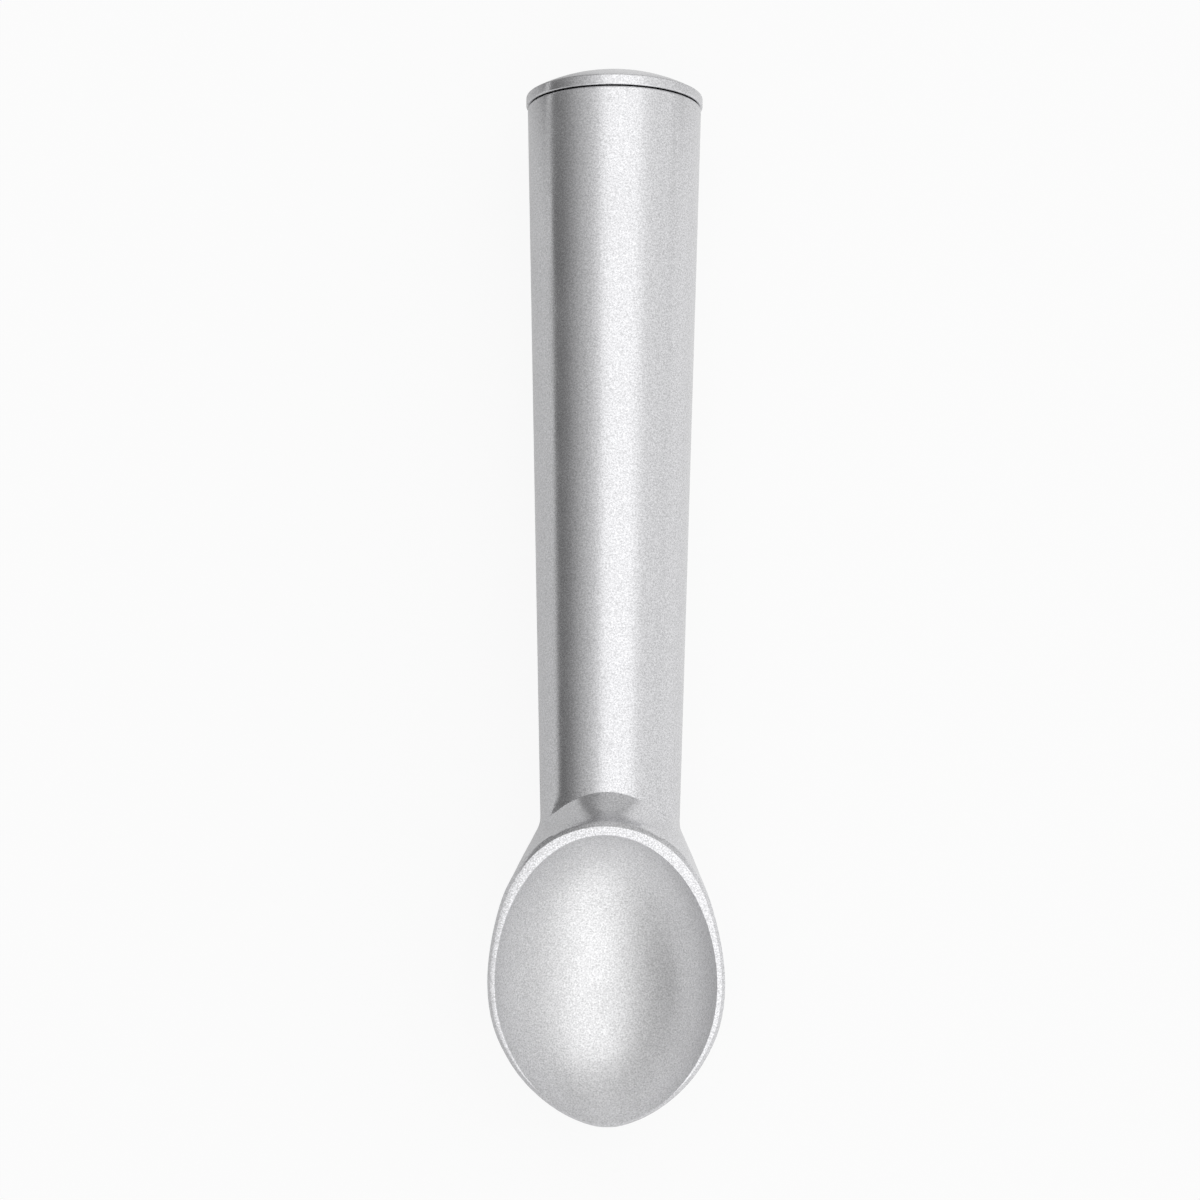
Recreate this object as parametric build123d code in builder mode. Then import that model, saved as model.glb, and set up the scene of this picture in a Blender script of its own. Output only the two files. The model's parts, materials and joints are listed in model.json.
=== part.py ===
from build123d import *

import os
from math import cos, pi, radians, sin, tan

# Ice cream scoop with a liquid-filled handle, in millimetres.
# It lies on its back on the floor, z = 0, with the bowl's mouth up. The handle runs along +Y to its
# cap, the lip of the bowl points along -Y, and x = 0 is the plane of symmetry.

# Whole scoop
overall_length = 178.0
# Handle: a straight taper from the crease at the neck to its open end
handle_end_radius = 14.65
neck_radius = 11.55
handle_root_length = 16.0
end_edge_round = 0.4
# Neck: a ramp climbs from the crease on the handle's front to the back of the rim,
# while the flanks flare out to the widest place of the bowl
neck_run = 5.8
rim_rise = 5.7
neck_inset = 3.0
flare_lead = 5.8
flare_power = 1.4
ramp_tail_length = 3.0
crease_round = 8.0
# Mouth of the bowl and its flat rim, ground down a little below the as-cast edge; the hollow runs out
# over the lip, where it leaves no rim
mouth_run = 47.45
mouth_tilt = 15.4
mouth_half_width = 19.35
mouth_widest_share = 0.535
overhang_power = 3.1
nose_width_power = 0.6
rim_grind = 0.4
rim_bevel_width = 0.5
rim_bevel_height = 0.9
rim_edge_round = 0.15
rim_back_thickness = 1.5
rim_side_thickness = 1.15
lip_overrun = 0.5
bowl_depth = 13.5
hollow_raise = 5.0
loft_bulge = 0.073
# Bore of the handle: a plain seat for the closure, then the cored chamber for the liquid
seat_bore_radius = 11.0
chamber_mouth_radius = 10.2
chamber_end_radius = 7.6
chamber_end_round = 5.0
chamber_past_neck = 6.0
liquid_level_share = 0.8
# Sealing plug and its ring, pressed in against the shoulder at the foot of the seat bore
plug_length = 8.0
plug_edge_chamfer = 0.5
plug_recess_radius = 6.5
plug_recess_depth = 3.0
ring_groove_width = 2.6
ring_groove_depth = 1.5
ring_squeezed_width = 2.2
ring_edge_round = 0.5
# Domed end cap, whose spigot stands on the plug and holds a shadow line open above the handle
cap_flange_radius = 14.9
cap_wall_height = 1.7
cap_dome_height = 4.0
cap_edge_round = 0.3
shadow_gap = 0.15
spigot_length = 6.5
spigot_wall = 1.8
spigot_hollow_depth = 5.5
spigot_chamfer = 0.5

# Places along the handle's axis, from the crown of the cap to the lip
cap_crown_y = overall_length / 2
cap_shoulder_y = cap_crown_y - cap_dome_height
cap_seat_y = cap_shoulder_y - cap_wall_height
handle_end_y = cap_seat_y - shadow_gap
plug_top_y = cap_seat_y - spigot_length
plug_foot_y = plug_top_y - plug_length
groove_y = (plug_top_y + plug_foot_y) / 2
lip_y = -overall_length / 2
rim_back_y = lip_y + mouth_run
neck_y = rim_back_y + neck_run
tail_y = neck_y + ramp_tail_length
flare_start_y = neck_y + flare_lead
root_y = neck_y - handle_root_length
chamber_end_y = neck_y - chamber_past_neck
widest_y = rim_back_y - mouth_run * mouth_widest_share
hollow_back_y = rim_back_y - rim_back_thickness
hollow_tip_y = lip_y - lip_overrun

# The cap's flange and the belly of the bowl both touch the floor, so the axis is level
axis_z = cap_flange_radius
mouth_back_z = axis_z + neck_radius + rim_rise
mouth_turn = radians(mouth_tilt)
handle_taper = (handle_end_radius - neck_radius) / (handle_end_y - neck_y)
root_end_radius = neck_radius - handle_root_length * handle_taper
liquid_top_z = axis_z + chamber_mouth_radius * (liquid_level_share * 2 - 1)
handle_axis = Axis((0, 0, axis_z), (0, 1, 0))
# Profiles are drawn below the axis, so that their seams lie underneath
profile_plane = Plane(origin=(0, 0, axis_z), x_dir=(0, 1, 0), z_dir=(-1, 0, 0))


def mouth_z(y):
    """Height of the as-cast edge of the mouth."""
    return mouth_back_z + (y - rim_back_y) * tan(mouth_turn)


def nose_share(reach_share):
    """Share of the full width left at a share of the way from the widest place to the pointed tip."""
    return (1 - reach_share**2) ** nose_width_power


def flare_share(y):
    """Share of the neck's flare done at y: 0 inside the handle, 1 at the widest place."""
    return sin((flare_start_y - y) / (flare_start_y - widest_y) * pi / 2) ** flare_power


# Stations along the bowl, closer together where its outline turns in fast; the nose ends in a
# small flat just short of its theoretical tip
nose_reach_shares = [0, 0.2, 0.4, 0.58, 0.73, 0.85, 0.93, 0.975, 0.99]
flank_reach_shares = [0.84, 0.66, 0.44, 0.22]
tip_reach = (widest_y - lip_y) / nose_reach_shares[-1]
neck_stations = [tail_y, (tail_y + neck_y) / 2, neck_y, (neck_y + rim_back_y) / 2, rim_back_y]

# The belly is as deep as lets its lowest place, found in small steps, touch the floor; the loft bulges
# a little between its stations
belly_shares = [step / 100 for step in range(80)]
belly_depth = min(mouth_z(widest_y - tip_reach * share) / nose_share(share) for share in belly_shares)
belly_depth -= loft_bulge
root_radius = neck_radius - neck_inset
root_bottom_z = axis_z - root_radius
belly_z = mouth_z(widest_y) - belly_depth


def underside_z(y):
    """Height of the underside behind the widest place."""
    return root_bottom_z + (belly_z - root_bottom_z) * flare_share(y)


# The ramp ends as steep as the bowl's back wall begins, so that the neck runs into the bowl smoothly
back_height = mouth_back_z - underside_z(rim_back_y)
ramp_end_slope = back_height * overhang_power / (rim_back_y - widest_y) / 2 - tan(mouth_turn)
ramp_start_slope = 2 * rim_rise / neck_run - ramp_end_slope
ramp_bend = (ramp_end_slope - ramp_start_slope) / neck_run / 2


def neck_section(y):
    """Half-width, half-height and centre height of the neck at y; its tail runs on inside the handle."""
    past = neck_y - y
    ramp_z = axis_z + neck_radius + ramp_start_slope * past + ramp_bend * max(0, past) ** 2
    half_width = root_radius + (mouth_half_width - root_radius) * flare_share(y)
    half_height = (ramp_z - underside_z(y)) / 2
    return half_width, half_height, underside_z(y) + half_height


def flank_section(y, reach_share):
    """Half-width, half-height and centre height of the bowl between its back and its widest place."""
    overhang_share = reach_share**overhang_power
    half_width = root_radius + (mouth_half_width - root_radius) * flare_share(y)
    half_height = (mouth_z(y) - underside_z(y)) / (1 + overhang_share)
    return half_width, half_height, underside_z(y) + half_height


# Every station with its section, from inside the handle to the lip
sections = [(y, *neck_section(y)) for y in neck_stations]
for reach_share in flank_reach_shares:
    station_y = widest_y + (rim_back_y - widest_y) * reach_share
    sections.append((station_y, *flank_section(station_y, reach_share)))
for reach_share in nose_reach_shares:
    station_y = widest_y - tip_reach * reach_share
    share = nose_share(reach_share)
    sections.append((station_y, mouth_half_width * share, belly_depth * share, mouth_z(station_y)))

# Hollow of the bowl, lying in the mouth's own frame: its outline turned about a line raised above the
# mouth, so that its walls lean out at the rim, then stretched to the hollow's depth. Where it meets the
# mouth it is a half ellipse behind and the pointed nose in front
hollow_half_width = mouth_half_width - rim_side_thickness
hollow_stretch = (bowl_depth**2 + 2 * bowl_depth * hollow_raise) ** 0.5 / hollow_half_width
raise_share = hollow_raise / hollow_stretch / hollow_half_width
back_growth = (1 + raise_share**2) ** 0.5
nose_growth = (1 + raise_share ** (1 / nose_width_power)) ** 0.5
hollow_back_run = (hollow_back_y - widest_y) / cos(mouth_turn)
hollow_nose_run = (widest_y - hollow_tip_y) / cos(mouth_turn)


def hollow_nose_share(reach_share):
    """Share of the hollow's half-width left at a share of the way to its tip, raised above the mouth."""
    left_share = 1 - (nose_growth * reach_share) ** 2
    mouth_share = left_share * abs(left_share) ** (2 * nose_width_power - 1)
    return max(0, mouth_share + raise_share**2) ** 0.5


hollow_outline = []
for turn in [radians(angle) for angle in (0, 15, 30, 45, 60, 75)]:
    station = hollow_back_run * back_growth * cos(turn)
    hollow_outline.append((station, hollow_half_width * back_growth * sin(turn)))
for reach_share in nose_reach_shares + [1]:
    station = -hollow_nose_run * nose_growth * reach_share
    hollow_outline.append((station, hollow_half_width * hollow_nose_share(reach_share)))
mouth_frame = Plane(
    origin=(0, widest_y, mouth_z(widest_y)),
    x_dir=(0, cos(mouth_turn), sin(mouth_turn)),
    z_dir=(0, -sin(mouth_turn), cos(mouth_turn)),
)
rim_plane = mouth_frame.offset(-rim_grind)
with BuildPart() as bowl_hollow:
    with BuildSketch(Plane.XY):
        with BuildLine():
            Spline(*hollow_outline, tangents=[(0, 1), (0, -1)])
            Line(hollow_outline[-1], hollow_outline[0])
        make_face()
    revolve(axis=Axis.X)
    scale(by=(1, 1, hollow_stretch))

# Chamber for the liquid, cored into the handle from its open end and rounded at the bowl
with BuildSketch(profile_plane) as chamber_profile:
    with BuildLine():
        Polyline(
            (plug_foot_y, 0),
            (plug_foot_y, chamber_mouth_radius),
            (chamber_end_y, chamber_end_radius),
            (chamber_end_y, 0),
            close=True,
        )
    make_face()
    fillet(chamber_profile.vertices().sort_by(Axis.X)[:2].sort_by(Axis.Y)[-1], radius=chamber_end_round)

# Scoop body, one casting: oval sections lofted from inside the handle to the lip, ground flat along
# the rim's plane and bevelled, then the handle with its rounded crease, the hollow of the bowl and
# the bores
with BuildPart() as scoop_body:
    for station_y, half_width, half_height, centre_z in sections:
        # The long radius points down, so that every section's seam lies at its lowest point
        with BuildSketch(Plane(origin=(0, station_y, centre_z), x_dir=(0, 0, -1), z_dir=(0, -1, 0))):
            Ellipse(half_height, half_width)
    loft()
    with BuildSketch(rim_plane):
        Rectangle(overall_length, overall_length)
    extrude(amount=overall_length, mode=Mode.SUBTRACT)
    rim_face = scoop_body.faces().filter_by(GeomType.PLANE).sort_by(Axis.Z)[-1]
    chamfer(rim_face.edges(), length=rim_bevel_width, length2=rim_bevel_height, reference=rim_face)
    rim_face = scoop_body.faces().filter_by(GeomType.PLANE).sort_by(Axis.Z)[-1]
    fillet(rim_face.edges(), radius=rim_edge_round)
    with BuildSketch(profile_plane):
        with BuildLine():
            Polyline(
                (root_y, 0),
                (root_y, root_end_radius),
                (handle_end_y, handle_end_radius),
                (handle_end_y, 0),
                close=True,
            )
        make_face()
    revolve(axis=handle_axis)
    fillet(scoop_body.edges(Select.NEW).filter_by(GeomType.BSPLINE), radius=crease_round)
    add(mouth_frame.offset(hollow_raise) * bowl_hollow.part, mode=Mode.SUBTRACT)
    revolve(profiles=chamber_profile.sketch, axis=handle_axis, mode=Mode.SUBTRACT)
    with BuildSketch(Plane(origin=(0, handle_end_y, axis_z), z_dir=(0, -1, 0))):
        Circle(seat_bore_radius)
    extrude(amount=handle_end_y - plug_foot_y, mode=Mode.SUBTRACT)
    end_edges = scoop_body.edges().filter_by(GeomType.CIRCLE).group_by(Axis.Y)[-1]
    fillet(end_edges.sort_by(SortBy.RADIUS)[-1], radius=end_edge_round)

# Liquid, level as the scoop lies, with air left above it
with BuildPart() as heat_fluid:
    revolve(profiles=chamber_profile.sketch, axis=handle_axis)
    split(bisect_by=Plane.XY.offset(liquid_top_z), keep=Keep.BOTTOM)

# Sealing plug, turned: chamfered edges, a groove for its ring and a recess in its outer face
with BuildPart() as sealing_plug:
    with BuildSketch(Plane(origin=(0, plug_foot_y, axis_z), z_dir=(0, 1, 0))):
        Circle(seat_bore_radius)
    extrude(amount=plug_length)
    chamfer(sealing_plug.edges().filter_by(GeomType.CIRCLE), length=plug_edge_chamfer)
    with BuildSketch(Plane(origin=(0, plug_top_y, axis_z), z_dir=(0, -1, 0))):
        Circle(plug_recess_radius)
    extrude(amount=plug_recess_depth, mode=Mode.SUBTRACT)
    with BuildSketch(profile_plane):
        with Locations((groove_y, seat_bore_radius)):
            Rectangle(ring_groove_width, 2 * ring_groove_depth)
    revolve(axis=handle_axis, mode=Mode.SUBTRACT)

# Ring in the plug's groove, shown squeezed between the groove's floor and the bore
with BuildPart() as plug_o_ring:
    with BuildSketch(profile_plane) as ring_section:
        with Locations((groove_y, seat_bore_radius - ring_groove_depth / 2)):
            Rectangle(ring_squeezed_width, ring_groove_depth)
        fillet(ring_section.vertices(), radius=ring_edge_round)
    revolve(axis=handle_axis)

# End cap: domed flange with a hollow spigot pressed into the bore until it stands on the plug
with BuildPart() as end_cap:
    with BuildSketch(profile_plane) as cap_section:
        with BuildLine():
            dome_line = TangentArc(
                (cap_crown_y, 0), (cap_shoulder_y, cap_flange_radius), tangent=(0, 1)
            )
            Polyline(
                dome_line @ 1,
                (cap_seat_y, cap_flange_radius),
                (cap_seat_y, seat_bore_radius),
                (plug_top_y, seat_bore_radius),
                (plug_top_y, seat_bore_radius - spigot_wall),
                (plug_top_y + spigot_hollow_depth, seat_bore_radius - spigot_wall),
                (plug_top_y + spigot_hollow_depth, 0),
                (cap_crown_y, 0),
            )
        make_face()
        fillet(cap_section.vertices().group_by(Axis.Y)[-1], radius=cap_edge_round)
        chamfer(cap_section.vertices().group_by(Axis.X)[0].sort_by(Axis.Y)[-1], length=spigot_chamfer)
    revolve(axis=handle_axis)

os.makedirs("parts", exist_ok=True)
scoop_body.part.label = "scoop_body"
export_step(scoop_body.part, "parts/scoop_body.step")
heat_fluid.part.label = "heat_fluid"
export_step(heat_fluid.part, "parts/heat_fluid.step")
sealing_plug.part.label = "sealing_plug"
export_step(sealing_plug.part, "parts/sealing_plug.step")
plug_o_ring.part.label = "plug_o_ring"
export_step(plug_o_ring.part, "parts/plug_o_ring.step")
end_cap.part.label = "end_cap"
export_step(end_cap.part, "parts/end_cap.step")
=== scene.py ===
"""Ice cream scoop: dresses the cast scoop body, its end cap and the closed-in pieces of the handle."""

import json
import logging
from dataclasses import dataclass, field
from enum import Enum
from math import cos, radians, sin
from typing import Optional, Union

import bpy
from mathutils import Matrix, Vector
from mathutils.bvhtree import BVHTree

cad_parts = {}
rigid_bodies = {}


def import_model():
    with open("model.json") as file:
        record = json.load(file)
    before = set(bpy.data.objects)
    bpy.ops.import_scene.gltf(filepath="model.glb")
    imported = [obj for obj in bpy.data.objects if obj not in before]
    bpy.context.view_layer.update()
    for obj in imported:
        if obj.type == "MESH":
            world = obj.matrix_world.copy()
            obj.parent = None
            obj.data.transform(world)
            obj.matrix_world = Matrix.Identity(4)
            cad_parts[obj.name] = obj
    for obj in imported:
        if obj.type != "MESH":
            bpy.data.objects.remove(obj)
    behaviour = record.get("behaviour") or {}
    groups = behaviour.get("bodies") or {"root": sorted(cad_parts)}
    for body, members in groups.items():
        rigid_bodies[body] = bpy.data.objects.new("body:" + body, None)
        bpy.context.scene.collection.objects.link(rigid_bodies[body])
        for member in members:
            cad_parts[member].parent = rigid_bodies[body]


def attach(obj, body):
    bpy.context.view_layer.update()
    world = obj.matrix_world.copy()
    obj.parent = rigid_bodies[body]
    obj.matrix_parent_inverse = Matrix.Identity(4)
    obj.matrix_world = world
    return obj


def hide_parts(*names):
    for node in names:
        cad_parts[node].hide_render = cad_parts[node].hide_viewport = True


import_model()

LOG = logging.getLogger("scoop")
MM = 0.001
# Most values of a noise texture lie in this range
NOISE_RANGE = (0.3, 0.7)


class Nodes(Enum):
    """Names of the part's solids."""

    BODY = "scoop_body"
    CAP = "end_cap"
    PLUG = "sealing_plug"
    RING = "plug_o_ring"
    FLUID = "heat_fluid"


def clamp(share: float) -> float:
    """Hold a share between nothing and all.

    Args:
        share: Any number.

    Returns:
        The nearest number from 0 to 1.
    """
    return min(1.0, max(0.0, share))


def linear(hex_colour: str) -> tuple[float, float, float, float]:
    """Turn an sRGB hex colour into linear RGBA.

    Args:
        hex_colour: Six hex digits, with or without a leading #.

    Returns:
        The linear colour with full alpha.
    """
    digits = hex_colour.lstrip("#")
    channels = [int(digits[i : i + 2], 16) / 255 for i in (0, 2, 4)]
    red, green, blue = (c / 12.92 if c <= 0.04045 else ((c + 0.055) / 1.055) ** 2.4 for c in channels)
    return red, green, blue, 1.0


def add_node(
    tree: bpy.types.NodeTree,
    kind: str,
    settings: Optional[dict] = None,
    inputs: Optional[dict] = None,
) -> bpy.types.Node:
    """Add a shader node with its settings, values and links.

    Args:
        tree: Node tree to add to.
        kind: Blender's name of the node type.
        settings: Node properties to set.
        inputs: Input name or number to a plain value, or to an output socket to link from.

    Returns:
        The new node.
    """
    node = tree.nodes.new(kind)
    for name, value in (settings or {}).items():
        setattr(node, name, value)
    for key, value in (inputs or {}).items():
        if isinstance(value, bpy.types.NodeSocket):
            tree.links.new(value, node.inputs[key])
        else:
            node.inputs[key].default_value = value
    return node


def add_maths(
    tree: bpy.types.NodeTree, operation: str, *values: Union[float, bpy.types.NodeSocket]
) -> bpy.types.NodeSocket:
    """Add a piece of arithmetic.

    Args:
        tree: Node tree to add to.
        operation: Blender's name of the operation.
        values: Numbers or output sockets, in the operation's order.

    Returns:
        The result's socket.
    """
    inputs = dict(enumerate(values))
    return add_node(tree, "ShaderNodeMath", {"operation": operation}, inputs).outputs["Value"]


def add_range(
    tree: bpy.types.NodeTree,
    value: bpy.types.NodeSocket,
    ends: tuple[float, float],
    levels: tuple[float, float],
    kind: str = "SMOOTHSTEP",
) -> bpy.types.NodeSocket:
    """Map a value from one range to another, and no further.

    Args:
        tree: Node tree to add to.
        value: Output socket to map.
        ends: Values at which the change starts and ends.
        levels: Results at both ends.
        kind: Blender's name of the way between the ends.

    Returns:
        The result's socket.
    """
    return add_node(
        tree,
        "ShaderNodeMapRange",
        {"interpolation_type": kind},
        {
            "Value": value,
            "From Min": ends[0],
            "From Max": ends[1],
            "To Min": levels[0],
            "To Max": levels[1],
        },
    ).outputs["Result"]


def add_noise(
    tree: bpy.types.NodeTree, size_mm: float, detail: float, roughness: float = 0.5
) -> bpy.types.NodeSocket:
    """Add a noise texture that is fixed to the object.

    Args:
        tree: Node tree to add to.
        size_mm: Size of its coarsest blots.
        detail: Number of finer layers.
        roughness: Weight of the finer layers.

    Returns:
        The value's socket.
    """
    place = add_node(tree, "ShaderNodeTexCoord").outputs["Object"]
    return add_node(
        tree,
        "ShaderNodeTexNoise",
        inputs={"Vector": place, "Scale": 1 / (size_mm * MM), "Detail": detail, "Roughness": roughness},
    ).outputs["Fac"]


def add_mottle(
    tree: bpy.types.NodeTree, colours: tuple[str, str], size_mm: float, detail: float
) -> bpy.types.NodeSocket:
    """Mix two colours by a noise texture.

    Args:
        tree: Node tree to add to.
        colours: The two sRGB hex colours.
        size_mm: Size of the blots.
        detail: Number of finer layers.

    Returns:
        The colour's socket.
    """
    noise = add_noise(tree, size_mm, detail)
    return add_node(
        tree,
        "ShaderNodeMix",
        {"data_type": "RGBA"},
        {"Factor": noise, "A": linear(colours[0]), "B": linear(colours[1])},
    ).outputs["Result"]


def new_material(name: str) -> bpy.types.Material:
    """Make a material without nodes.

    Args:
        name: Name of the finish.

    Returns:
        The new material.
    """
    material = bpy.data.materials.new(name)
    material.use_nodes = True
    material.node_tree.nodes.clear()
    return material


def add_surface(tree: bpy.types.NodeTree, inputs: dict) -> None:
    """End a material in one principled shader.

    Args:
        tree: The material's node tree.
        inputs: The shader's values and links.
    """
    shader = add_node(tree, "ShaderNodeBsdfPrincipled", inputs=inputs)
    add_node(tree, "ShaderNodeOutputMaterial", inputs={"Surface": shader.outputs["BSDF"]})


def ramp_stops(node: bpy.types.Node, stops: list[tuple[float, float]]) -> None:
    """Set a colour ramp to grey stops.

    Args:
        node: Colour ramp node.
        stops: Position and linear grey value of each stop, in order.
    """
    elements = node.color_ramp.elements
    while len(elements) > 1:
        elements.remove(elements[-1])
    for number, (position, grey) in enumerate(stops):
        element = elements[0] if number == 0 else elements.new(position)
        element.position = position
        element.color = (grey, grey, grey, 1.0)


@dataclass(frozen=True)
class SatinAluminium:
    """Aluminium with a soft sheen: an even silver grey, faint clouds and a fine grain."""

    name: str
    colour: str
    roughness: float
    grain_mm: float = 0.26
    grain_detail: float = 2.0
    grain_roughness: float = 0.6
    grain_tone: float = 0.26
    grain_depth_mm: float = 0.004
    bump_strength: float = 0.5
    cloud_mm: float = 14.0
    cloud_detail: float = 3.0
    cloud_roughness: float = 0.05

    def build(self) -> bpy.types.Material:
        """Make the material.

        Returns:
            The new material.
        """
        material = new_material(self.name)
        tree = material.node_tree
        # Blast pits are some 0.05 mm across; they are drawn coarser so that the render shows them
        grain = add_noise(tree, self.grain_mm, self.grain_detail, self.grain_roughness)
        tones = (1 - self.grain_tone, 1 + self.grain_tone)
        colour = add_node(
            tree,
            "ShaderNodeVectorMath",
            {"operation": "SCALE"},
            {0: linear(self.colour)[:3], "Scale": add_range(tree, grain, NOISE_RANGE, tones, "LINEAR")},
        ).outputs["Vector"]
        cloud = add_noise(tree, self.cloud_mm, self.cloud_detail)
        sheens = (self.roughness - self.cloud_roughness, self.roughness + self.cloud_roughness)
        pits = add_node(
            tree,
            "ShaderNodeBump",
            inputs={
                "Height": grain,
                "Strength": self.bump_strength,
                "Distance": self.grain_depth_mm * MM,
            },
        ).outputs["Normal"]
        add_surface(
            tree,
            {
                "Base Color": colour,
                "Metallic": 1.0,
                "Roughness": add_range(tree, cloud, NOISE_RANGE, sheens, "LINEAR"),
                "Normal": pits,
            },
        )
        return material


@dataclass(frozen=True)
class RingRubber:
    """Nitrile rubber, moulded: near black and dull, with a faint bloom."""

    name: str = "moulded_nitrile_rubber"
    colour: str = "#161617"
    bloom: str = "#26262A"
    bloom_mm: float = 0.8
    bloom_detail: float = 3.0
    roughness: float = 0.62

    def build(self) -> bpy.types.Material:
        """Make the material.

        Returns:
            The new material.
        """
        material = new_material(self.name)
        tree = material.node_tree
        colour = add_mottle(tree, (self.colour, self.bloom), self.bloom_mm, self.bloom_detail)
        add_surface(tree, {"Base Color": colour, "Roughness": self.roughness})
        return material


@dataclass(frozen=True)
class HandleLiquid:
    """Water and glycol mix: clear with a faint blue cast."""

    name: str = "water_glycol_liquid"
    colour: str = "#DCE9F0"
    haze: str = "#C4D8E4"
    haze_mm: float = 30.0
    haze_detail: float = 2.0
    roughness: float = 0.03
    transmission: float = 0.9
    refraction: float = 1.38

    def build(self) -> bpy.types.Material:
        """Make the material.

        Returns:
            The new material.
        """
        material = new_material(self.name)
        tree = material.node_tree
        add_surface(
            tree,
            {
                "Base Color": add_mottle(tree, (self.colour, self.haze), self.haze_mm, self.haze_detail),
                "Roughness": self.roughness,
                "Transmission Weight": self.transmission,
                "IOR": self.refraction,
            },
        )
        return material


def dress(node: Nodes, material: bpy.types.Material) -> None:
    """Give a solid its finish.

    Args:
        node: Which solid.
        material: Finish for all of it.
    """
    slots = bpy.data.objects[node.value].data.materials
    slots.clear()
    slots.append(material)
    LOG.info("dressed %s in %s", node.value, material.name)


def select_only(thing: bpy.types.Object) -> None:
    """Make one object the active and only selected one.

    Args:
        thing: The object.
    """
    bpy.ops.object.select_all(action="DESELECT")
    bpy.context.view_layer.objects.active = thing
    thing.select_set(True)


def smooth_copy(node: Nodes, merge_mm: float, sharp_degrees: float) -> bpy.types.Object:
    """Copy a solid, merge its loose triangles and shade it smooth, to stand in for the solid.

    Args:
        node: Which solid.
        merge_mm: Corners closer than this become one.
        sharp_degrees: Edges that turn more than this stay sharp.

    Returns:
        The copy, without a material.
    """
    select_only(bpy.data.objects[node.value])
    bpy.ops.object.duplicate()
    copy = bpy.context.object
    copy.name = f"{node.value}_surface"
    bpy.ops.object.parent_clear(type="CLEAR_KEEP_TRANSFORM")
    bpy.ops.mesh.customdata_custom_splitnormals_clear()
    bpy.ops.object.mode_set(mode="EDIT")
    bpy.ops.mesh.select_all(action="SELECT")
    bpy.ops.mesh.remove_doubles(threshold=merge_mm * MM)
    bpy.ops.mesh.mark_sharp(clear=True)
    bpy.ops.object.mode_set(mode="OBJECT")
    bpy.ops.object.shade_smooth_by_angle(angle=radians(sharp_degrees))
    copy.data.materials.clear()
    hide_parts(node.value)
    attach(copy, "root")
    return copy


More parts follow.
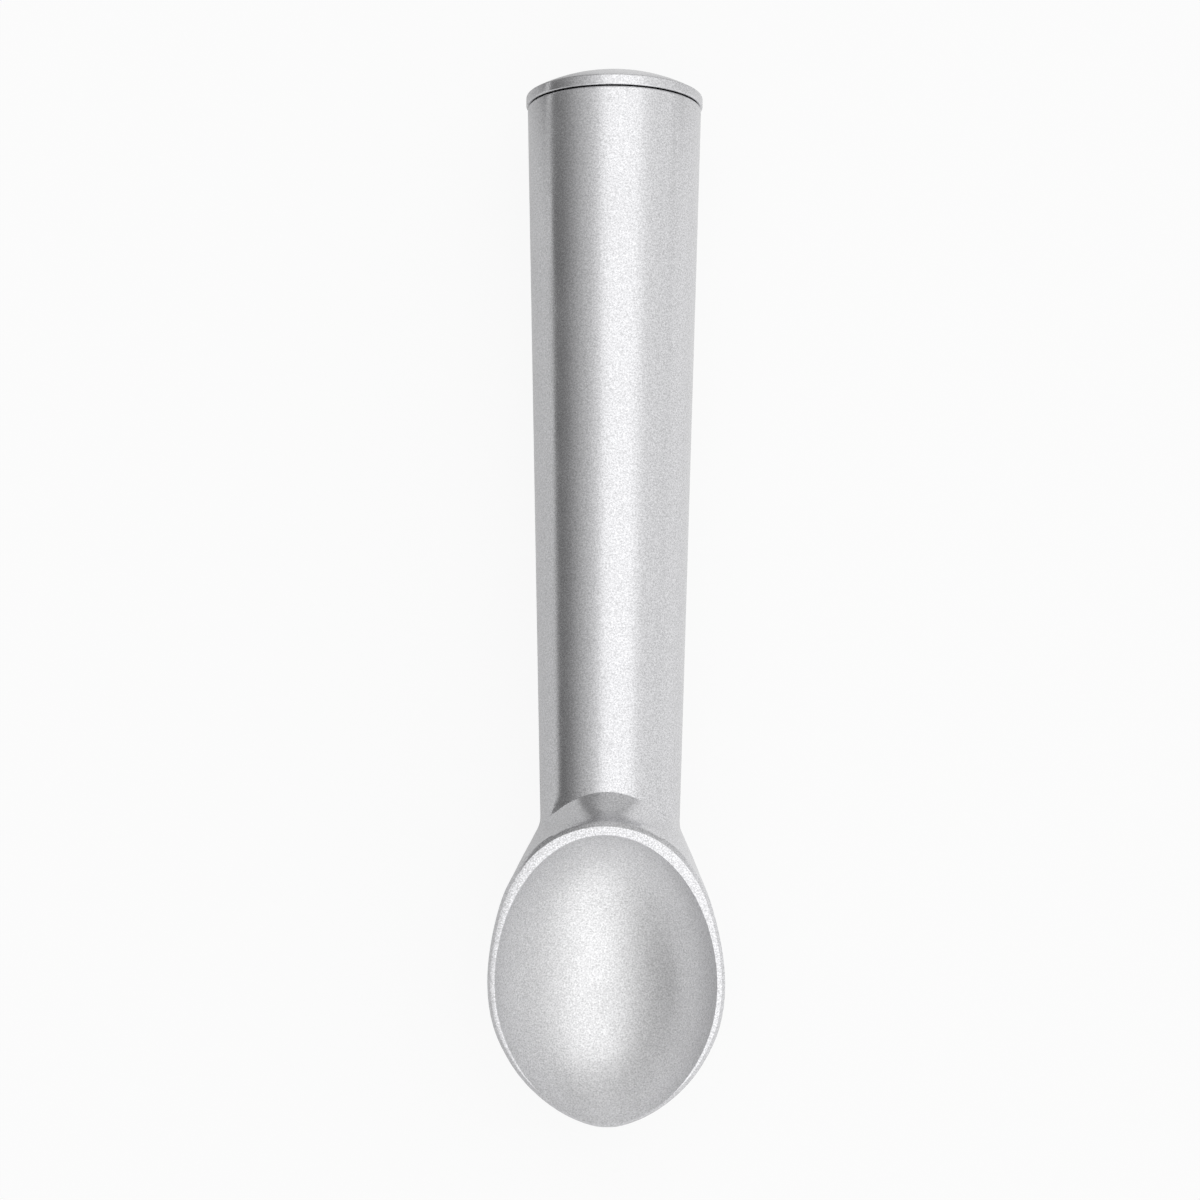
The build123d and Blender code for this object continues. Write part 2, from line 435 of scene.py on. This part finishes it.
@dataclass(frozen=True)
class NeckCrease:
    """The crisp arc where the handle's front ends and a hollow ramp climbs to the back of the rim.

    Lengths are in millimetres. Both arcs are parabolas across the scoop. The ramp leaves the crease, on
    the handle's cone, at an even gentle slope and steepens towards the rim's bevel.
    """

    axis_height: float = 14.9
    cone_radius: float = 11.55
    cone_radius_y: float = -35.75
    cone_taper: float = 0.02607
    crease_y: float = -35.3
    crease_bend: float = 0.039
    bevel_y: float = -40.83
    bevel_bend: float = 0.0265
    bevel_height: float = 30.97
    bevel_fall: float = 0.36
    bevel_slack: float = 0.02
    ramp_slope: float = 0.65
    side_slope: float = 0.003
    ramp_power: float = 2.5
    start_y: float = -32.0
    full_half_width: float = 7.4
    fade_half_width: float = 10.8
    lowest: float = 18.5
    least_upward: float = 0.15
    cuts: int = 5
    snap: float = 0.08

    def crease(self, x: float) -> float:
        """Find the crease.

        Args:
            x: Distance from the plane of symmetry.

        Returns:
            Place along the handle.
        """
        return self.crease_y - self.crease_bend * x**2

    def bevel(self, x: float) -> float:
        """Find the lower edge of the rim's bevel.

        Args:
            x: Distance from the plane of symmetry.

        Returns:
            Place along the handle.
        """
        return self.bevel_y - self.bevel_bend * x**2

    def cone_height(self, x: float, y: float) -> float:
        """Find the front of the handle.

        Args:
            x: Distance from the plane of symmetry.
            y: Place along the handle.

        Returns:
            Height above the floor.
        """
        radius = self.cone_radius + self.cone_taper * (y - self.cone_radius_y)
        return self.axis_height + (radius**2 - x**2) ** 0.5

    def height(self, x: float, y: float) -> float:
        """Find the neck's front.

        Args:
            x: Distance from the plane of symmetry.
            y: Place along the handle.

        Returns:
            Height above the floor: the handle's cone as far as the crease, then the ramp.
        """
        crease, bevel = self.crease(x), self.bevel(x)
        if y >= crease:
            return self.cone_height(x, y)
        foot = self.cone_height(x, crease)
        head = self.bevel_height + self.bevel_fall * (bevel - self.bevel_y)
        run, length = crease - y, crease - bevel
        slope = self.ramp_slope + self.side_slope * x**2
        steep_rise = head - foot - slope * length
        return foot + slope * run + steep_rise * (run / length) ** self.ramp_power

    def covers(self, place: Vector) -> bool:
        """Tell whether a place lies on the neck's front.

        Args:
            place: The place, in metres.

        Returns:
            Whether it lies between the handle and the bevel, inside the fade.
        """
        x, y, z = place / MM
        inside = abs(x) < self.fade_half_width and z > self.lowest
        return inside and self.bevel(x) - self.bevel_slack < y < self.start_y

    def divide(self, surface: bpy.types.Object) -> None:
        """Cut the faces of the neck's front into small ones.

        Args:
            surface: Smooth copy of the casting.
        """
        select_only(surface)
        mesh = surface.data
        bpy.ops.object.mode_set(mode="EDIT")
        bpy.ops.mesh.select_mode(type="FACE")
        bpy.ops.mesh.select_all(action="DESELECT")
        bpy.ops.object.mode_set(mode="OBJECT")
        count = 0
        for face in mesh.polygons:
            upward = face.normal.z > self.least_upward
            face.select = upward and all(self.covers(mesh.vertices[i].co) for i in face.vertices)
            count += face.select
        bpy.ops.object.mode_set(mode="EDIT")
        bpy.ops.mesh.subdivide(number_cuts=self.cuts, ngon=False)
        bpy.ops.object.mode_set(mode="OBJECT")
        LOG.info("%d faces of the neck divided, %d faces in all", count, len(mesh.polygons))

    def shape(self, surface: bpy.types.Object) -> None:
        """Divide the neck's front finely and lay it along the crease and the ramp.

        Args:
            surface: Smooth copy of the casting.
        """
        self.divide(surface)
        mesh = surface.data
        # The corners are chosen before the first one moves, since a move changes the normals around it
        front = [v.index for v in mesh.vertices if v.normal.z > 0 and self.covers(v.co)]
        for index in front:
            x, y, z = mesh.vertices[index].co / MM
            fade = clamp((abs(x) - self.full_half_width) / (self.fade_half_width - self.full_half_width))
            share = 1 - fade**2 * (3 - 2 * fade)
            if fade == 0 and abs(y - self.crease(x)) < self.snap:
                y = self.crease(x)
            mesh.vertices[index].co = Vector((x, y, z + share * (self.height(x, y) - z))) * MM


@dataclass(frozen=True)
class BellyLine:
    """The even line of the underside from the handle to the nose, in millimetres: place and height.

    A ray from below, just beside the plane of symmetry, finds the casting's own line.
    """

    places: tuple[tuple[float, float], ...] = (
        (-43.0, 3.54),
        (-44.5, 3.54),
        (-46.0, 3.36),
        (-48.0, 2.96),
        (-51.0, 2.36),
        (-54.0, 1.83),
        (-57.0, 1.35),
        (-60.0, 0.93),
        (-63.0, 0.57),
        (-66.0, 0.28),
        (-69.0, 0.09),
        (-71.5, 0.04),
        (-74.5, 0.35),
        (-77.5, 1.26),
        (-80.5, 2.88),
        (-83.5, 5.51),
        (-85.0, 7.34),
    )
    fade_height: float = 16.0
    probe_x: float = 0.01
    probe_z: float = -20.0

    def height(self, y: float) -> float:
        """Find the line by a smooth curve through its places.

        Args:
            y: Place along the scoop, from the second place to the last but one.

        Returns:
            Height above the floor.
        """
        number = next(n for n in range(1, len(self.places) - 2) if y >= self.places[n + 1][0])
        (y0, z0), (y1, z1), (y2, z2), (y3, z3) = self.places[number - 1 : number + 3]
        share = (y - y1) / (y2 - y1)
        leave = (z2 - z0) / (y2 - y0) * (y2 - y1)
        arrive = (z3 - z1) / (y3 - y1) * (y2 - y1)
        bend = 2 * (z1 - z2) + leave + arrive
        return z1 + share * (leave + share * (3 * (z2 - z1) - 2 * leave - arrive + share * bend))

    def shape(self, surface: bpy.types.Object) -> None:
        """Even out the underside, less and less up the walls.

        Args:
            surface: Smooth copy of the casting.
        """
        mesh = surface.data
        corners = [vertex.co.copy() for vertex in mesh.vertices]
        tree = BVHTree.FromPolygons(corners, [tuple(face.vertices) for face in mesh.polygons])
        first, last = self.places[1][0], self.places[-2][0]
        under = [v.index for v in mesh.vertices if v.normal.z < 0 and last < v.co.y / MM < first]
        for index in under:
            x, y, z = corners[index] / MM
            probe = Vector((self.probe_x, y, self.probe_z)) * MM
            lowest = tree.ray_cast(probe, Vector((0, 0, 1)))[0].z / MM
            share = clamp((self.fade_height - z) / (self.fade_height - lowest))
            mesh.vertices[index].co.z = (z + share * (self.height(y) - lowest)) * MM
        LOG.info("%d corners of the underside evened", len(under))


@dataclass
class ScoopBody:
    """The casting: blasted outside, with the hollow of the bowl left rougher as it came from the tumbler
    and given a paler grey as painted light.
    """

    outside: SatinAluminium
    hollow: SatinAluminium
    neck: NeckCrease = field(default_factory=NeckCrease)
    belly: BellyLine = field(default_factory=BellyLine)
    merge_mm: float = 0.002
    sharp_degrees: float = 25.0
    bowl_centre_mm: tuple[float, float, float] = (0.0, -64.0, 24.0)
    bowl_back_mm: float = -41.5

    def build(self) -> bpy.types.Object:
        """Stand a smooth copy in for the casting and give it both finishes.

        Returns:
            The copy.
        """
        copy = smooth_copy(Nodes.BODY, self.merge_mm, self.sharp_degrees)
        self.neck.shape(copy)
        self.belly.shape(copy)
        copy.data.materials.append(self.outside.build())
        copy.data.materials.append(self.hollow.build())
        centre = Vector(self.bowl_centre_mm) * MM
        count = 0
        for face in copy.data.polygons:
            inward = face.normal.dot(centre - face.center) > 0
            in_bowl = inward and face.center.y < self.bowl_back_mm * MM
            face.material_index = 1 if in_bowl else 0
            count += in_bowl
        LOG.info("%d faces of the hollow", count)
        return copy


@dataclass
class EndCap:
    """The domed cap."""

    metal: SatinAluminium
    merge_mm: float = 0.002
    sharp_degrees: float = 25.0

    def build(self) -> bpy.types.Object:
        """Stand a smooth copy in for the cap.

        Returns:
            The copy.
        """
        copy = smooth_copy(Nodes.CAP, self.merge_mm, self.sharp_degrees)
        copy.data.materials.append(self.metal.build())
        return copy


@dataclass
class Scoop:
    """The casting and its cap, with the closed-in pieces of the handle."""

    body: ScoopBody = field(
        default_factory=lambda: ScoopBody(
            SatinAluminium("bead_blasted_cast_aluminium", "#D6D6D8", 0.22),
            # The hollow's paler grey is painted light against the bowl's shade; its higher roughness is
            # the tumbled finish
            SatinAluminium("tumbled_cast_aluminium_painted_light", "#DFDFE0", 0.42),
        )
    )
    cap: EndCap = field(
        default_factory=lambda: EndCap(SatinAluminium("bead_blasted_turned_aluminium", "#D6D6D8", 0.22))
    )
    plug_metal: SatinAluminium = SatinAluminium("turned_plug_aluminium", "#C4C4C6", 0.34)
    ring_rubber: RingRubber = field(default_factory=RingRubber)
    liquid: HandleLiquid = field(default_factory=HandleLiquid)

    def build(self) -> None:
        """Give every piece its finish."""
        self.body.build()
        self.cap.build()
        dress(Nodes.PLUG, self.plug_metal.build())
        dress(Nodes.RING, self.ring_rubber.build())
        dress(Nodes.FLUID, self.liquid.build())


@dataclass(frozen=True)
class WhiteBoard:
    """The floor's finish: white to the camera but for the shadow, with painted light and painted shade in
    the metal's reflections.

    Places are in metres. A painted shade, seen only in reflections, has a side, -1 for the left, and a
    depth.
    It lies between an inner and an outer heading, each the way across over the way along from an apex
    under the neck.
    """

    name: str = "matt_white_board_painted_reflections"
    colour: str = "#DCDCDC"
    camera_glow: float = 0.9
    painted_reflection_light: tuple[float, float] = (0.03, 0.85)
    painted_reflection_sides: tuple[float, float] = (-0.05, 0.06)
    painted_reflection_reach: tuple[float, float] = (0.12, 0.24)
    painted_shades: tuple[tuple[int, float], ...] = ((-1, 0.6), (1, 0.25))
    painted_shade_start: tuple[float, float] = (0.072, 0.128)
    painted_shade_apex_y: float = -0.04
    painted_shade_inner: tuple[float, float] = (0.02, 0.12)
    painted_shade_outer: tuple[float, float] = (0.85, 1.05)

    def build(self) -> bpy.types.Material:
        """Make the material.

        Returns:
            The new material.
        """
        material = new_material(self.name)
        tree = material.node_tree
        board = add_node(tree, "ShaderNodeBsdfDiffuse", inputs={"Color": linear(self.colour)})
        white = add_node(tree, "ShaderNodeEmission", inputs={"Color": (1, 1, 1, 1), "Strength": 1.0})
        # A black sheet of painted shade, mixed in where reflections look past the cap
        black = add_node(tree, "ShaderNodeEmission", inputs={"Color": (0, 0, 0, 1), "Strength": 0.0})
        rays = add_node(tree, "ShaderNodeLightPath").outputs
        shiny = add_maths(tree, "MAXIMUM", rays["Is Glossy Ray"], rays["Is Transmission Ray"])
        place = add_node(tree, "ShaderNodeTexCoord").outputs["Object"]
        spot = add_node(tree, "ShaderNodeSeparateXYZ", inputs={"Vector": place}).outputs
        # The camera sees a white floor with the shadow left in it. The metal's reflections see painted
        # light:
        # its white glow, strong on the right and as far as the cap, faint on the left; the plain board
        # elsewhere
        side = add_range(tree, spot["X"], self.painted_reflection_sides, self.painted_reflection_light)
        near = add_range(tree, spot["Y"], self.painted_reflection_reach, (1.0, 0.0))
        painted_reflection_share = add_maths(tree, "MULTIPLY", shiny, add_maths(tree, "MULTIPLY", side, near))
        share = add_maths(tree, "MULTIPLY_ADD", rays["Is Camera Ray"], self.camera_glow, painted_reflection_share)
        lit = add_node(
            tree,
            "ShaderNodeMixShader",
            inputs={0: share, 1: board.outputs["BSDF"], 2: white.outputs["Emission"]},
        )
        floor = add_node(
            tree,
            "ShaderNodeMixShader",
            inputs={
                0: self.add_painted_shade(tree, shiny, spot["X"], spot["Y"]),
                1: lit.outputs["Shader"],
                2: black.outputs["Emission"],
            },
        )
        add_node(tree, "ShaderNodeOutputMaterial", inputs={"Surface": floor.outputs["Shader"]})
        return material

    def add_painted_shade(
        self,
        tree: bpy.types.NodeTree,
        shiny: bpy.types.NodeSocket,
        x: bpy.types.NodeSocket,
        y: bpy.types.NodeSocket,
    ) -> bpy.types.NodeSocket:
        """Paint shade on the board past the cap, seen only in reflections, more on the left than on the
        right.

        Args:
            tree: The material's node tree.
            shiny: Whether a reflection looks.
            x: Place across the scoop.
            y: Place along the scoop.

        Returns:
            The socket of the share of painted shade.
        """
        heading = add_maths(tree, "DIVIDE", x, add_maths(tree, "SUBTRACT", y, self.painted_shade_apex_y))
        shade = 0.0
        for side, depth in self.painted_shades:
            away = add_maths(tree, "MULTIPLY", heading, side)
            wedge = shiny
            for step in (
                add_range(tree, y, self.painted_shade_start, (0.0, depth)),
                add_range(tree, away, self.painted_shade_inner, (0.0, 1.0)),
                add_range(tree, away, self.painted_shade_outer, (1.0, 0.0)),
            ):
                wedge = add_maths(tree, "MULTIPLY", wedge, step)
            shade = add_maths(tree, "ADD", wedge, shade)
        return shade


@dataclass
class Studio:
    """Pale floor, soft surround and the camera."""

    board: WhiteBoard = field(default_factory=WhiteBoard)
    floor_size: float = 6.0
    floor_cuts: int = 3
    # Degrees from straight above towards the right, and the surround's linear grey there
    room: tuple[tuple[float, float], ...] = (
        (-90, 0.17),
        (-79, 0.18),
        (-65, 0.25),
        (-53, 0.39),
        (-41, 0.555),
        (-29, 0.69),
        (-18, 0.88),
        (-11, 1.18),
        (-2, 1.33),
        (32, 1.33),
        (40, 1.14),
        (50, 0.95),
        (90, 0.92),
    )
    far_end: tuple[float, float] = (0.4, 0.9)
    far_end_share: float = 0.48
    camera_distance: float = 0.9
    camera_elevation: float = 79.17
    camera_lean: float = 2.91
    camera_roll: float = -0.2
    camera_clip: float = 0.01
    target_z: float = 0.015
    pixels_per_mm: float = 6.018
    frame_pixels: float = 1200.0
    sensor_mm: float = 36.0
    shift_pixels: tuple[float, float] = (11.39, -7.79)

    def build(self) -> None:
        """Make the floor, the surround and the camera."""
        self.build_floor()
        self.build_surround()
        self.build_camera()

    def build_floor(self) -> None:
        """Lay a wide pale sheet under the scoop."""
        bpy.ops.object.select_all(action="DESELECT")
        bpy.ops.mesh.primitive_plane_add(size=self.floor_size)
        floor = bpy.context.object
        floor.name = "floor"
        bpy.ops.object.mode_set(mode="EDIT")
        bpy.ops.mesh.subdivide(number_cuts=self.floor_cuts)
        bpy.ops.object.mode_set(mode="OBJECT")
        floor.data.materials.append(self.board.build())

    def build_surround(self) -> None:
        """Light the scoop with a soft surround: brightest overhead on the right, dim low on the left."""
        world = bpy.data.worlds.new("soft_surround")
        bpy.context.scene.world = world
        world.use_nodes = True
        tree = world.node_tree
        tree.nodes.clear()
        way = add_node(tree, "ShaderNodeTexCoord").outputs["Generated"]
        parts = add_node(tree, "ShaderNodeSeparateXYZ", inputs={"Vector": way}).outputs
        lean = add_maths(tree, "ARCSINE", parts["X"])
        turn = add_range(tree, lean, (radians(-90), radians(90)), (0.0, 1.0), "LINEAR")
        band = add_node(tree, "ShaderNodeValToRGB", inputs={"Fac": turn})
        ramp_stops(band, [((degrees + 90) / 180, grey) for degrees, grey in self.room])
        # The room is dimmer beyond the cap
        past_cap = add_range(tree, parts["Y"], self.far_end, (1.0, self.far_end_share))
        dimmed = add_node(
            tree,
            "ShaderNodeVectorMath",
            {"operation": "SCALE"},
            {0: band.outputs["Color"], "Scale": past_cap},
        ).outputs["Vector"]
        surround = add_node(tree, "ShaderNodeBackground", inputs={"Color": dimmed, "Strength": 1.0})
        add_node(tree, "ShaderNodeOutputWorld", inputs={"Surface": surround.outputs["Background"]})

    def build_camera(self) -> None:
        """Stand the camera where the photograph's camera stood."""
        data = bpy.data.cameras.new("camera")
        camera = bpy.data.objects.new("camera", data)
        bpy.context.collection.objects.link(camera)
        bpy.context.scene.camera = camera
        up_turn, lean = radians(self.camera_elevation), radians(self.camera_lean)
        back = Vector((sin(lean), -cos(up_turn) * cos(lean), sin(up_turn) * cos(lean))).normalized()
        right = (Vector((1, 0, 0)) - back * back.x).normalized()
        up = back.cross(right)
        roll = radians(self.camera_roll)
        rolled_right = right * cos(roll) + up * sin(roll)
        rolled_up = up * cos(roll) - right * sin(roll)
        turned = Matrix((rolled_right, rolled_up, back)).transposed().to_4x4()
        place = Vector((0, 0, self.target_z)) + back * self.camera_distance
        camera.matrix_world = Matrix.Translation(place) @ turned
        data.sensor_width = self.sensor_mm
        data.lens = self.pixels_per_mm * self.camera_distance / MM * self.sensor_mm / self.frame_pixels
        data.shift_x = -self.shift_pixels[0] / self.frame_pixels
        data.shift_y = self.shift_pixels[1] / self.frame_pixels
        data.clip_start = self.camera_clip


def main() -> None:
    """Dress the scoop and build the studio."""
    logging.basicConfig(level=logging.INFO)
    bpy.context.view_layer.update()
    bpy.context.scene.view_settings.view_transform = "Standard"
    Scoop().build()
    Studio().build()


if __name__ == "__main__":
    main()
